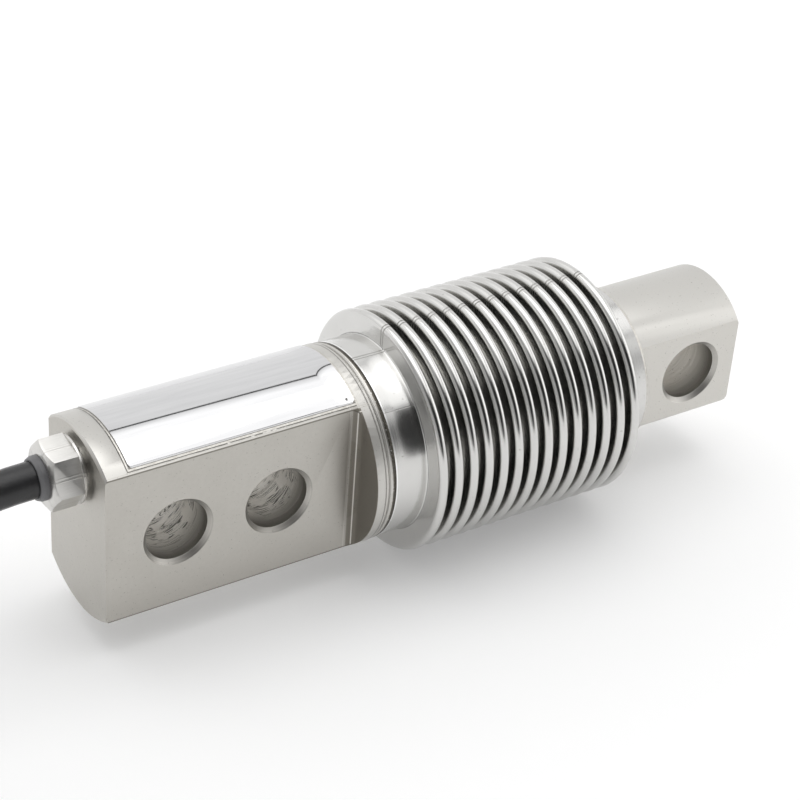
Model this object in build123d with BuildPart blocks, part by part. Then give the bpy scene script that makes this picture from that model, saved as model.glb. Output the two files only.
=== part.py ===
from build123d import *
from math import asin, atan2, cos, degrees, pi, radians, tan
import os

# Bending-beam weighing load cell with a welded bellows.
# Millimetres. X runs along the bar to the load end, Y along the bolt holes, Z up.
# The origin is midway between the two mounting holes, on the axis of the bar.

# Clamping block
bar_radius = 16.5
block_width = 19.5
block_length = 43.5
rear_hole_margin = 12.25
mount_hole_spacing = 17.5
mount_hole_radius = 5.25
mount_hole_chamfer = 0.75
shoulder_fillet = 1.6
block_edge_break = 0.4

# Collar behind the bellows and the seats that the bellows is slipped over
collar_width = 2.0
collar_groove_width = 0.25
collar_groove_depth = 0.25
collar_lip_width = 0.5
collar_lip_step = 0.12
rear_weld_width = 0.85
rear_seat_length = 5.0
front_seat_length = 4.8
front_weld_width = 0.65
weld_crown = 0.1
slip_gap = 0.05

# Bellows, hydroformed from one thin tube
bellows_wall = 0.3
neck_radius = 16.3
neck_length = 5.5
neck_bend = 0.25
convolutions = 14
convolution_pitch = 2.87
crest_radius = 20.3
crest_bend = 0.85
root_radius = 16.2
tail_radius = 14.1
tail_bend = 1.3
tail_length = 4.5

# Measuring beam inside the bellows
beam_width = 17.0
beam_height = 21.0
flexure_thickness = 2.0
flexure_spacing = 21.0
link_slot = 4.0

# Load end
load_bar_radius = 12.5
load_end_width = 19.0
load_end_length = 21.7
load_hole_margin = 9.25
load_hole_radius = 5.25
load_hole_chamfer = 0.75
load_edge_break = 0.4

# Cover over the circuit pocket, and its weld
cover_margin = 4.3
cover_shoulder_gap = 0.4
cover_width = 17.8
cover_thickness = 1.2
cover_proud = 0.2
cover_corner = 0.6
cover_edge_break = 0.2
cover_weld_width = 0.35
cover_ledge = 2.0
pocket_floor = 7.0
pocket_corner = 1.5

# Wire channel from the pocket to the bellows chamber
channel_radius = 1.7
channel_height = 12.2

# Circuit board and its parts
board_rear_margin = 6.4
board_width = 11.0
board_thickness = 0.8
board_front_margin = 2.4
resistor_length = 3.2
resistor_width = 1.6
resistor_height = 0.6
resistor_rows = 2
resistors_per_row = 4
resistor_pitch = 5.0
resistor_row_pitch = 5.0
pad_radius = 0.7
pad_height = 0.35
pads_per_end = 4
pad_pitch = 2.2
pad_margin = 1.3

# Foil strain gauges and their leads
gauge_length = 6.0
gauge_width = 5.0
gauge_thickness = 0.15
lead_radius = 0.3
lead_gap = 0.1
lead_rise = 2.0
lead_pitch = 0.7
lead_row_pitch = 0.8
lead_run_in = 3.0
channel_mouth = 1.0
lead_arch = 1.5
lead_bend_radius = 0.5

# Cable gland
gland_height = 9.9
gland_sides = 6
gland_across_flats = 10.0
gland_turn = 7.5
gland_head_length = 4.6
gland_head_chamfer = 0.7
gland_chamfer_angle = 30.0
gland_stand_off = 1.2
gland_stem_radius = 4.0
gland_stem_depth = 5.2
thread_gap = 0.05
washer_radius = 5.5
washer_thickness = 0.4
washer_gap = 0.1
seal_wall = 0.55
seal_proud = 1.4
seal_flange_radius = 3.55
seal_step_radius = 3.25
seal_step_length = 0.6
seal_gap = 0.05
grip_gap = 0.02
inner_washer_thickness = 0.6

# Cable: 3 m of round lead, of which only the start shows
cable_diameter = 5.8
inner_cable_end = 2.6
core_radius = 0.65
core_ring = 1.5
inner_core_radius = 0.52
inner_core_bend = 0.8
core_straight_end = 1.2
core_arch = 2.2
core_gather = 0.55
hank_run = 102.0
hank_loop_radius = 17.4
hank_columns = 2
hank_layers = 4
hank_edge_radius = 2.5
hank_stub = 17.0
top_turn_sink = 0.15
tail_past_tie = 6.0
tie_width = 3.6
tie_thickness = 0.9
tie_slot_reach = 1.0
tie_head_length = 5.4
tie_head_width = 5.0
tie_head_corner = 0.8
tie_tail_rise = 1.1
tie_head_height = 3.4
tie_tail_length = 9.0
sleeve_length = 14.0
sleeve_shoulder = 8.4
sleeve_neck = 10.5
sleeve_shrink = 0.1
sleeve_end_radius = 2.45
core_start_pitch = 0.8
core_end_pitch = 2.1
core_landing_pitch = 1.75
core_free_length = 26.0
core_straight = 0.2
core_landing = 0.6
core_drift = 7.4
core_landing_drift = 3.0
core_bend_radius = 4.0

# Stations along X
end_face = -(rear_hole_margin + mount_hole_spacing / 2)
shoulder = end_face + block_length
collar_end = shoulder + collar_width
lip_start = collar_end + collar_groove_width
lip_end = lip_start + collar_lip_width
bellows_start = lip_end + rear_weld_width
beam_start = bellows_start + rear_seat_length
crease = bellows_start + neck_length
first_crest = crease + neck_bend + crest_bend
last_crest = first_crest + (convolutions - 1) * convolution_pitch
tail_start = last_crest + crest_bend + tail_bend
bellows_end = tail_start + tail_length
beam_end = bellows_end - front_seat_length
load_end_start = bellows_end + front_weld_width
load_face = load_end_start + load_end_length
load_hole_x = load_face - load_hole_margin

# Sizes that follow
cable_radius = cable_diameter / 2
table = -crest_radius
rear_seat_radius = neck_radius - bellows_wall - slip_gap
front_seat_radius = tail_radius - bellows_wall - slip_gap
lip_radius = bar_radius - collar_lip_step
beam_middle = (beam_start + beam_end) / 2
flexure_hole_radius = beam_width / 2 - flexure_thickness
cover_start = end_face + cover_margin
cover_length = shoulder - cover_shoulder_gap - cover_start
cover_outer = bar_radius + cover_proud
cover_inner = cover_outer - cover_thickness
pocket_start = cover_start + cover_ledge
pocket_length = cover_length - 2 * cover_ledge
pocket_width = cover_width - 2 * cover_ledge
pocket_end = pocket_start + pocket_length
reach = 2 * crest_radius
same_size = 1e-6
bar_axis = Axis.X
gland_axis = Axis((0, 0, gland_height), (1, 0, 0))


def gland_plane(x):
    """Plane square to the gland's axis, x along the bar."""
    return Plane(origin=(x, 0, gland_height), x_dir=(0, 1, 0), z_dir=(1, 0, 0))


os.makedirs("parts", exist_ok=True)


# Spring element: block, collar, measuring beam and load end turned and milled from one bar
with BuildPart() as spring_element:
    with BuildSketch(Plane.XZ):
        with BuildLine():
            Polyline(
                (end_face, 0),
                (end_face, bar_radius - block_edge_break),
                (end_face + block_edge_break, bar_radius),
                (collar_end, bar_radius),
                (collar_end, bar_radius - collar_groove_depth),
                (lip_start, bar_radius - collar_groove_depth),
                (lip_start, lip_radius),
                (lip_end, lip_radius),
                (lip_end, rear_seat_radius),
                (beam_start, rear_seat_radius),
                (beam_start, front_seat_radius),
                (load_end_start, front_seat_radius),
                (load_end_start, load_bar_radius),
                (load_face - load_edge_break, load_bar_radius),
                (load_face, load_bar_radius - load_edge_break),
                (load_face, 0),
                close=True,
            )
        make_face()
    revolve(axis=bar_axis)

    # Milled flats of the block, with the cutter's radius left at the shoulder
    with BuildSketch(Plane.XY):
        with BuildLine():
            FilletPolyline(
                (end_face - reach, block_width / 2),
                (shoulder, block_width / 2),
                (shoulder, reach),
                radius=shoulder_fillet,
            )
            Polyline(
                (shoulder, reach),
                (end_face - reach, reach),
                (end_face - reach, block_width / 2),
            )
        make_face()
        mirror(about=Plane.XZ)
    extrude(amount=reach, both=True, mode=Mode.SUBTRACT)

    # Milled flats of the load end
    with BuildSketch(Plane.YZ.offset(load_end_start)):
        Circle(load_bar_radius)
        Rectangle(load_end_width, reach, mode=Mode.SUBTRACT)
    extrude(amount=load_end_length, mode=Mode.SUBTRACT)

    # Beam: the bar between the seats is milled to a rectangle
    with BuildSketch(Plane.YZ.offset(beam_start)):
        Circle(bar_radius)
        Rectangle(beam_width, beam_height, mode=Mode.SUBTRACT)
    extrude(amount=beam_end - beam_start, mode=Mode.SUBTRACT)

    # Twin hole through the beam, joined by a slot, leaves four thin flexures
    with BuildSketch(Plane.XY):
        with Locations((beam_middle, 0)):
            with GridLocations(flexure_spacing, 0, 2, 1):
                Circle(flexure_hole_radius)
            Rectangle(flexure_spacing, link_slot)
    extrude(amount=reach, both=True, mode=Mode.SUBTRACT)

    # Mounting holes and load hole, each chamfered at both mouths
    with BuildSketch(Plane.XZ):
        with GridLocations(mount_hole_spacing, 0, 2, 1):
            Circle(mount_hole_radius)
        with Locations((load_hole_x, 0)):
            Circle(load_hole_radius)
    extrude(amount=reach, both=True, mode=Mode.SUBTRACT)
    bolt_circles = spring_element.edges().filter_by(GeomType.CIRCLE)
    mount_mouths = bolt_circles.filter_by(
        lambda e: abs(e.radius - mount_hole_radius) < same_size and abs(e.arc_center.X) < mount_hole_spacing
        and abs(abs(e.arc_center.Y) - block_width / 2) < same_size
    )
    load_mouths = bolt_circles.filter_by(
        lambda e: abs(e.radius - load_hole_radius) < same_size and abs(e.arc_center.X - load_hole_x) < same_size
        and abs(abs(e.arc_center.Y) - load_end_width / 2) < same_size
    )
    chamfer(mount_mouths, mount_hole_chamfer)
    chamfer(load_mouths, load_hole_chamfer)

    # Recess that the cover sits in, then the pocket for the circuit under it
    with BuildSketch(Plane.YZ.offset(cover_start - cover_weld_width)):
        Circle(reach)
        Circle(cover_inner, mode=Mode.SUBTRACT)
        with Locations((0, reach)):
            Rectangle(cover_width + 2 * cover_weld_width, 2 * reach, mode=Mode.INTERSECT)
    extrude(amount=cover_length + 2 * cover_weld_width, mode=Mode.SUBTRACT)
    with BuildSketch(Plane.XY.offset(pocket_floor)):
        with Locations((pocket_start + pocket_length / 2, 0)):
            RectangleRounded(pocket_length, pocket_width, pocket_corner)
    extrude(amount=bar_radius, mode=Mode.SUBTRACT)

    # Threaded bore for the gland, and the wire channel to the bellows chamber
    with BuildSketch(gland_plane(end_face)):
        Circle(gland_stem_radius + thread_gap)
    extrude(amount=pocket_start - end_face, mode=Mode.SUBTRACT)
    with BuildSketch(Plane.YZ.offset(pocket_end - pocket_corner)):
        with Locations((0, channel_height)):
            Circle(channel_radius)
    extrude(amount=beam_start - pocket_end + pocket_corner, mode=Mode.SUBTRACT)
spring_element.part.label = "spring_element"
export_step(spring_element.part, "parts/spring_element.step")


def bellows_side(inset):
    """One skin of the bellows as a chain of edges, inset from the outer skin."""
    crest = crest_bend - inset
    root = convolution_pitch / 2 - crest_bend + inset
    crest_centre = crest_radius - crest_bend
    root_centre = root_radius + convolution_pitch / 2 - crest_bend
    neck_corner = neck_bend + inset
    neck_centre = neck_radius + neck_bend
    tail_corner = tail_bend + inset
    tail_centre = tail_radius + tail_bend
    Line((bellows_start, neck_radius - inset), (crease, neck_radius - inset))
    CenterArc((crease, neck_centre), neck_corner, -90, 90)
    Line((crease + neck_corner, neck_centre), (first_crest - crest, crest_centre))
    for number in range(convolutions):
        crest_x = first_crest + number * convolution_pitch
        CenterArc((crest_x, crest_centre), crest, 0, 180)
        if number < convolutions - 1:
            root_x = crest_x + convolution_pitch / 2
            Line((crest_x + crest, crest_centre), (root_x - root, root_centre))
            CenterArc((root_x, root_centre), root, 180, 180)
            Line((root_x + root, root_centre), (root_x + convolution_pitch / 2 - crest, crest_centre))
    Line((last_crest + crest, crest_centre), (last_crest + crest, tail_centre))
    CenterArc((tail_start, tail_centre), tail_corner, 180, 90)
    Line((tail_start, tail_radius - inset), (bellows_end, tail_radius - inset))


# Bellows: one thin tube with fourteen rounded convolutions
with BuildPart() as bellows:
    with BuildSketch(Plane.XZ):
        with BuildLine():
            bellows_side(0)
            bellows_side(bellows_wall)
            Line((bellows_start, neck_radius), (bellows_start, neck_radius - bellows_wall))
            Line((bellows_end, tail_radius), (bellows_end, tail_radius - bellows_wall))
        make_face()
    revolve(axis=bar_axis)
bellows.part.label = "bellows"
export_step(bellows.part, "parts/bellows.step")


# Weld that closes the neck of the bellows against the collar
with BuildPart() as rear_weld:
    with BuildSketch(Plane.XZ):
        with BuildLine():
            Polyline(
                (lip_end, neck_radius),
                (lip_end, rear_seat_radius),
                (bellows_start, rear_seat_radius),
                (bellows_start, neck_radius),
            )
            ThreePointArc(
                (lip_end, neck_radius),
                ((lip_end + bellows_start) / 2, neck_radius + weld_crown),
                (bellows_start, neck_radius),
            )
        make_face()
    revolve(axis=bar_axis)
rear_weld.part.label = "rear_weld"
export_step(rear_weld.part, "parts/rear_weld.step")


# Weld that closes the tail of the bellows at the load end
with BuildPart() as front_weld:
    with BuildSketch(Plane.XZ):
        with BuildLine():
            Polyline(
                (bellows_end, tail_radius),
                (bellows_end, front_seat_radius),
                (load_end_start, front_seat_radius),
            )
            ThreePointArc(
                (bellows_end, tail_radius),
                ((bellows_end + load_end_start) / 2, (tail_radius + front_seat_radius) / 2 + weld_crown),
                (load_end_start, front_seat_radius),
            )
        make_face()
    revolve(axis=bar_axis)
front_weld.part.label = "front_weld"
export_step(front_weld.part, "parts/front_weld.step")


# Cover: a curved plate, slightly proud of the round back of the block
with BuildPart() as cover_plate:
    with BuildSketch(Plane.YZ.offset(cover_start)):
        Circle(cover_outer)
        Circle(cover_inner, mode=Mode.SUBTRACT)
        with Locations((0, reach)):
            Rectangle(cover_width, 2 * reach, mode=Mode.INTERSECT)
    extrude(amount=cover_length)
    fillet(cover_plate.edges().filter_by(Axis.Z), cover_corner)
    outer_skin = cover_plate.faces().filter_by(GeomType.CYLINDER).sort_by(SortBy.AREA)[-1]
    chamfer(outer_skin.edges(), cover_edge_break)
cover_plate.part.label = "cover_plate"
export_step(cover_plate.part, "parts/cover_plate.step")


# Weld bead that fills the groove round the cover
with BuildPart() as cover_weld:
    with BuildSketch(Plane.YZ.offset(cover_start - cover_weld_width)):
        Circle(bar_radius)
        Circle(cover_inner, mode=Mode.SUBTRACT)
        with Locations((0, reach)):
            Rectangle(cover_width + 2 * cover_weld_width, 2 * reach, mode=Mode.INTERSECT)
    extrude(amount=cover_length + 2 * cover_weld_width)
    with BuildSketch(Plane.XY):
        with Locations((cover_start + cover_length / 2, 0)):
            RectangleRounded(cover_length, cover_width, cover_corner)
    extrude(amount=reach, mode=Mode.SUBTRACT)
cover_weld.part.label = "cover_weld"
export_step(cover_weld.part, "parts/cover_weld.step")


# Compensation board, glued to the floor of the pocket
board_start = pocket_start + board_rear_margin
board_length = pocket_end - board_front_margin - board_start
board_middle = board_start + board_length / 2
board_top = pocket_floor + board_thickness
with BuildPart() as circuit_board:
    with BuildSketch(Plane.XY.offset(pocket_floor)):
        with Locations((board_middle, 0)):
            Rectangle(board_length, board_width)
    extrude(amount=board_thickness)
circuit_board.part.label = "circuit_board"
export_step(circuit_board.part, "parts/circuit_board.step")

with BuildPart() as trim_resistors:
    with BuildSketch(Plane.XY.offset(board_top)):
        with Locations((board_middle, 0)):
            with GridLocations(resistor_pitch, resistor_row_pitch, resistors_per_row, resistor_rows):
                Rectangle(resistor_length, resistor_width)
    extrude(amount=resistor_height)
trim_resistors.part.label = "trim_resistors"
export_step(trim_resistors.part, "parts/trim_resistors.step")

pad_span = board_length - 2 * pad_margin
with BuildPart() as solder_pads:
    with BuildSketch(Plane.XY.offset(board_top)):
        with Locations((board_middle, 0)):
            with GridLocations(pad_span, pad_pitch, 2, pads_per_end):
                Circle(pad_radius)
    extrude(amount=pad_height)
solder_pads.part.label = "solder_pads"
export_step(solder_pads.part, "parts/solder_pads.step")


# Foil strain gauges, one on each thin flexure
gauge_places = {
    "rear_left": (beam_middle - flexure_spacing / 2, 1),
    "rear_right": (beam_middle - flexure_spacing / 2, -1),
    "front_left": (beam_middle + flexure_spacing / 2, 1),
    "front_right": (beam_middle + flexure_spacing / 2, -1),
}
for place, (gauge_x, side) in gauge_places.items():
    with BuildPart() as strain_gauge:
        with BuildSketch(Plane.XZ.offset(-side * beam_width / 2)):
            with Locations((gauge_x, 0)):
                Rectangle(gauge_length, gauge_width)
        extrude(amount=-side * gauge_thickness)
    strain_gauge.part.label = "strain_gauge_" + place
    export_step(strain_gauge.part, "parts/strain_gauge_" + place + ".step")


# Gauge leads: up the side of the beam, over its edge and through the wire channel to the board
lead_out = beam_width / 2 + gauge_thickness + lead_gap + lead_radius
lead_top = beam_height / 2 + lead_gap + lead_radius
lead_end = board_start + board_length - pad_margin
pad_top = board_top + pad_height
with BuildPart() as gauge_leads:
    for number, (gauge_x, side) in enumerate(gauge_places.values()):
        row = number // 2
        lane = side * lead_pitch * (0.5 + row)
        drop = channel_height + lead_row_pitch * (row - 0.5)
        with BuildLine() as lead_line:
            FilletPolyline(
                (gauge_x, side * lead_out, gauge_width / 2 - lead_rise),
                (gauge_x, side * lead_out, lead_top + lead_rise / 2),
                (gauge_x - lead_run_in, lane, drop),
                (pocket_end - channel_mouth, lane, drop),
                (lead_end, side * pad_pitch * (0.5 + row), pad_top + lead_arch),
                (lead_end, side * pad_pitch * (0.5 + row), pad_top),
                radius=lead_bend_radius,
            )
        with BuildSketch(Plane(origin=lead_line.line @ 0, z_dir=lead_line.line % 0)):
            Circle(lead_radius)
        sweep(path=lead_line.line)
gauge_leads.part.label = "gauge_leads"
export_step(gauge_leads.part, "parts/gauge_leads.step")


# Cable gland: a hollow hexagon screw in the end face, with a washer and a rubber seal
head_front = end_face - gland_stand_off - gland_head_length
head_back = end_face - gland_stand_off
seal_radius = cable_radius + grip_gap + seal_wall
corner_radius = gland_across_flats / 2 / cos(pi / gland_sides)
with BuildPart() as gland_screw:
    with BuildSketch(gland_plane(head_front)):
        RegularPolygon(gland_across_flats / 2, gland_sides, major_radius=False, rotation=gland_turn)
    extrude(amount=gland_head_length)
    with BuildSketch(Plane.XZ):
        with BuildLine():
            Polyline(
                (head_front, gland_height),
                (head_front, gland_height + corner_radius - gland_head_chamfer / tan(radians(gland_chamfer_angle))),
                (head_front + gland_head_chamfer, gland_height + corner_radius),
                (head_back, gland_height + corner_radius),
                (head_back, gland_height),
                close=True,
            )
        make_face()
    revolve(axis=gland_axis, mode=Mode.INTERSECT)
    with BuildSketch(gland_plane(head_back)):
        Circle(gland_stem_radius)
    extrude(amount=gland_stand_off + gland_stem_depth)
    with BuildSketch(gland_plane(head_front)):
        Circle(seal_radius + seal_gap)
    extrude(amount=gland_head_length + gland_stand_off + gland_stem_depth, mode=Mode.SUBTRACT)
gland_screw.part.label = "gland_screw"
export_step(gland_screw.part, "parts/gland_screw.step")

with BuildPart() as gland_washer:
    with BuildSketch(gland_plane(head_back)):
        Circle(washer_radius)
        Circle(gland_stem_radius + washer_gap, mode=Mode.SUBTRACT)
    extrude(amount=washer_thickness)
gland_washer.part.label = "gland_washer"
export_step(gland_washer.part, "parts/gland_washer.step")

seal_face = head_front - seal_proud
with BuildPart() as cable_seal:
    with BuildSketch(Plane.XZ):
        with BuildLine():
            Polyline(
                (seal_face, gland_height + cable_radius + grip_gap),
                (seal_face, gland_height + seal_step_radius),
                (seal_face + seal_step_length, gland_height + seal_flange_radius),
                (head_front, gland_height + seal_flange_radius),
                (head_front, gland_height + seal_radius),
                (end_face + gland_stem_depth, gland_height + seal_radius),
                (end_face + gland_stem_depth, gland_height + cable_radius + grip_gap),
                close=True,
            )
        make_face()
    revolve(axis=gland_axis)
cable_seal.part.label = "cable_seal"
export_step(cable_seal.part, "parts/cable_seal.step")

with BuildPart() as seal_washer:
    with BuildSketch(gland_plane(end_face + gland_stem_depth)):
        Circle(gland_stem_radius)
        Circle(cable_radius + grip_gap, mode=Mode.SUBTRACT)
    extrude(amount=inner_washer_thickness)
seal_washer.part.label = "seal_washer"
export_step(seal_washer.part, "parts/seal_washer.step")


# Cable inside the gland, stripped in the pocket, with its four cores soldered to the board
jacket_end = pocket_start + inner_cable_end
with BuildPart() as cable_inner_end:
    with BuildSketch(gland_plane(seal_face)):
        Circle(cable_radius)
    extrude(amount=jacket_end - seal_face)
cable_inner_end.part.label = "cable_inner_end"
export_step(cable_inner_end.part, "parts/cable_inner_end.step")

core_land = board_start + pad_margin
with BuildPart() as inner_cores:
    for number in range(pads_per_end):
        lane = (number - (pads_per_end - 1) / 2) * pad_pitch
        height = gland_height + core_ring * (0.5 - number % 2)
        with BuildLine() as core_line:
            FilletPolyline(
                (jacket_end, lane * core_gather, height),
                (jacket_end + core_straight_end, lane * core_gather, height),
                (core_land, lane, pad_top + core_arch),
                (core_land, lane, pad_top),
                radius=inner_core_bend,
            )
        with BuildSketch(Plane(origin=core_line.line @ 0, z_dir=core_line.line % 0)):
            Circle(inner_core_radius)
        sweep(path=core_line.line)
inner_cores.part.label = "inner_cores"
export_step(inner_cores.part, "parts/inner_cores.step")


# Free cable: straight out of the seal, then down to the table and aside, where the hank starts
floor_turn = table + cable_radius
hank_side = hank_loop_radius + (hank_columns - 1) * cable_diameter
cable_route = [
    (seal_face, 0.0, gland_height),
    (-33.5, 0.0, gland_height),
    (-39.4, -0.4, 9.0),
    (-48.9, -2.0, 6.0),
    (-57.2, -5.9, 1.2),
    (-67.7, -15.6, -10.1),
    (-75.3, -19.7, -14.4),
    (-83.1, -22.1, -16.7),
    (-91.5, -hank_side, floor_turn),
    (-96.6, -hank_side, floor_turn),
]


def arc_radii(points):
    """0.45 of the shorter run at each corner, over the tangent of half the turn."""
    radii = []
    for before, corner, after in zip(points, points[1:], points[2:]):
        into = Vector(*corner) - Vector(*before)
        out = Vector(*after) - Vector(*corner)
        half_turn = radians(into.get_angle(out)) / 2
        radii.append(0.45 * min(into.length, out.length) / tan(half_turn))
    return radii


lead_radii = arc_radii(cable_route)
print("cable lead radii", [round(r, 1) for r in lead_radii])
with BuildPart() as cable_lead:
    with BuildLine() as lead_path:
        FilletPolyline(*cable_route, radius=lead_radii)
    with BuildSketch(gland_plane(seal_face)):
        Circle(cable_radius)
    sweep(path=lead_path.line)
lead_length = lead_path.wires()[0].length
lead_volume = pi * cable_radius ** 2 * lead_length
print("cable lead length", round(lead_length, 2), "volume ratio", cable_lead.part.volume / lead_volume)
cable_lead.part.label = "cable_lead"
export_step(cable_lead.part, "parts/cable_lead.step")

# Hank of the rest of the cable: two round loops with a waist between them, where the tie is.
# One arc of the waist is tangent to both loops, and every turn follows the same arcs, further out or in.
near_loop = cable_route[-1][0] - hank_stub
waist_x = near_loop - hank_run / 2
far_loop = near_loop - hank_run
outer_loop = hank_loop_radius + (hank_columns - 0.5) * cable_diameter
inner_loop = hank_loop_radius - cable_radius
waist_half = hank_columns * cable_diameter
loop_over_waist = outer_loop - waist_half
waist_centre = ((hank_run / 2) ** 2 - loop_over_waist ** 2) / (2 * loop_over_waist)
waist_radius = waist_centre - waist_half
waist_angle = degrees(atan2(waist_centre, hank_run / 2))
loop_angle = 180 - waist_angle
hank_height = hank_layers * cable_diameter
hank_top = table + hank_height
top_turn = hank_top + cable_radius - top_turn_sink
tail_angle = degrees(asin(tail_past_tie / (waist_radius + cable_radius)))
tie_height = top_turn + cable_radius - table
tie_plane = Plane(origin=(waist_x, 0, table + tie_height / 2), x_dir=(0, 1, 0), z_dir=(1, 0, 0))
with BuildPart() as cable_hank:
    with BuildSketch(Plane.XY.offset(table)):
        with BuildLine():
            CenterArc((near_loop, 0), outer_loop, -loop_angle, 2 * loop_angle)
            CenterArc((waist_x, waist_centre), waist_radius, -waist_angle, 2 * waist_angle - 180)
            CenterArc((far_loop, 0), outer_loop, waist_angle, 2 * loop_angle)
            CenterArc((waist_x, -waist_centre), waist_radius, loop_angle, waist_angle - loop_angle)
        make_face()
        with Locations((near_loop, 0), (far_loop, 0)):
            Circle(inner_loop, mode=Mode.SUBTRACT)
    extrude(amount=hank_height)
    rims = cable_hank.faces().filter_by(Axis.Z).edges()
    fillet(rims, hank_edge_radius)
    with BuildSketch(Plane(origin=cable_route[-1], x_dir=(0, 1, 0), z_dir=(-1, 0, 0))):
        Circle(cable_radius)
    extrude(amount=hank_stub)
    with BuildLine(Plane.XY.offset(top_turn)) as top_path:
        CenterArc((near_loop, 0), hank_side, -90, 90 - loop_angle)
        CenterArc((waist_x, -waist_centre), waist_radius + cable_radius, waist_angle, 90 - waist_angle + tail_angle)
    with BuildSketch(Plane(origin=top_path.line @ 0, z_dir=top_path.line % 0)):
        Circle(cable_radius)
    sweep(path=top_path.line)
    with BuildSketch(tie_plane):
        RectangleRounded(2 * waist_half + tie_slot_reach, tie_height + tie_slot_reach, cable_radius)
        RectangleRounded(
            2 * (waist_half - tie_thickness), tie_height - 2 * tie_thickness,
            cable_radius - tie_thickness, mode=Mode.SUBTRACT,
        )
    extrude(amount=tie_width / 2, both=True, mode=Mode.SUBTRACT)
cable_hank.part.label = "cable_hank"
export_step(cable_hank.part, "parts/cable_hank.step")

# Cable tie round the waist of the hank
with BuildPart() as cable_tie:
    with BuildSketch(tie_plane):
        RectangleRounded(2 * waist_half, tie_height, cable_radius)
        RectangleRounded(
            2 * (waist_half - tie_thickness), tie_height - 2 * tie_thickness,
            cable_radius - tie_thickness, mode=Mode.SUBTRACT,
        )
    extrude(amount=tie_width / 2, both=True)
    with BuildSketch(Plane.XY.offset(table + tie_height)):
        with Locations((waist_x, 0)):
            RectangleRounded(tie_head_width, tie_head_length, tie_head_corner)
    extrude(amount=tie_head_height)
    with BuildSketch(Plane.XY.offset(table + tie_height + tie_tail_rise)):
        with Locations((waist_x, -tie_head_length / 2)):
            Rectangle(tie_width, tie_tail_length, align=(Align.CENTER, Align.MAX))
    extrude(amount=tie_thickness)
cable_tie.part.label = "cable_tie"
export_step(cable_tie.part, "parts/cable_tie.step")

# Heat-shrunk sleeve over the stripped end, which lies on the hank, past the tie
sleeve_along = top_path.line % 1
sleeve_origin = top_path.line @ 1 + Vector(0, 0, top_turn_sink)
sleeve_plane = Plane(origin=sleeve_origin, x_dir=sleeve_along, z_dir=(0, 0, 1))
with BuildPart() as end_sleeve:
    with BuildSketch(sleeve_plane):
        with BuildLine():
            Polyline(
                (0, 0),
                (0, cable_radius),
                (sleeve_shoulder, cable_radius - sleeve_shrink),
                (sleeve_neck, sleeve_end_radius),
                (sleeve_length, sleeve_end_radius),
                (sleeve_length, 0),
                close=True,
            )
        make_face()
    revolve(axis=Axis(sleeve_plane.origin, sleeve_plane.x_dir))
end_sleeve.part.label = "end_sleeve"
export_step(end_sleeve.part, "parts/end_sleeve.step")

# Bare cores and the shield's tail, fanned out on the top of the hank
core_names = ["core_red", "core_white", "core_green", "core_black", "shield_tail"]
core_drop = cable_radius - core_radius
for number, core_name in enumerate(core_names):
    lane = number - (len(core_names) - 1) / 2
    start_aside = lane * core_start_pitch
    start_above = (0.5 - number % 2) * 2 * core_radius
    middle_aside = lane * core_landing_pitch + core_landing_drift
    core_points = [
        (sleeve_length, start_aside, start_above),
        (sleeve_length + core_free_length * core_straight, start_aside, start_above),
        (sleeve_length + core_free_length * core_landing, middle_aside, -core_drop),
        (sleeve_length + core_free_length, lane * core_end_pitch + core_drift, -core_drop),
    ]
    core_corners = [sleeve_plane.from_local_coords(Vector(*point)) for point in core_points]
    with BuildPart() as core:
        with BuildLine() as core_line:
            FilletPolyline(*core_corners, radius=core_bend_radius)
        with BuildSketch(Plane(origin=core_line.line @ 0, z_dir=core_line.line % 0)):
            Circle(core_radius)
        sweep(path=core_line.line)
    core.part.label = core_name
    export_step(core.part, "parts/" + core_name + ".step")

whole_turns = hank_layers * hank_columns
mean_loop = radians(2 * loop_angle) * (hank_side - cable_radius)
mean_waist = radians(180 - 2 * waist_angle) * (waist_radius + cable_diameter)
mean_turn = 2 * (mean_loop + mean_waist)
cable_length = lead_length + hank_stub + whole_turns * mean_turn + top_path.wires()[0].length
print("cable length", round(cable_length), "turn", round(mean_turn, 1), "tail", round(top_path.wires()[0].length, 1))
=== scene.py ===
import math

import bmesh
import bpy
from mathutils import Matrix, Vector


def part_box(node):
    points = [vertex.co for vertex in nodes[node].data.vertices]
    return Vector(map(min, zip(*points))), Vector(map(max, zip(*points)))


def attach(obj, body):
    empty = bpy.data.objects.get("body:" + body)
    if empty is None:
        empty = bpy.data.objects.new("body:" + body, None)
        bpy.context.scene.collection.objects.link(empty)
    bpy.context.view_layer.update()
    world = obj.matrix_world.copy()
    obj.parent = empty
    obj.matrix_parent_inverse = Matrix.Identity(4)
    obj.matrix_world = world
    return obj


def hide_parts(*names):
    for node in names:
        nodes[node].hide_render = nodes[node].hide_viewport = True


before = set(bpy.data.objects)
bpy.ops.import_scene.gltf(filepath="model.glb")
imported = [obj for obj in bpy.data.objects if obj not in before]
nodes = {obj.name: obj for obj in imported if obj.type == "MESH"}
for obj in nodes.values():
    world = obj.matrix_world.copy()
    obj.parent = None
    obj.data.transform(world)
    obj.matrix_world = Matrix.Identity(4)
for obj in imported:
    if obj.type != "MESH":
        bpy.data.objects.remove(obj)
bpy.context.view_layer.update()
MM = 0.001


# Camera: the photograph's own view, a long lens that looks down on the bar from its cable end.
def link(obj):
    bpy.context.scene.collection.objects.link(obj)
    return obj


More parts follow.
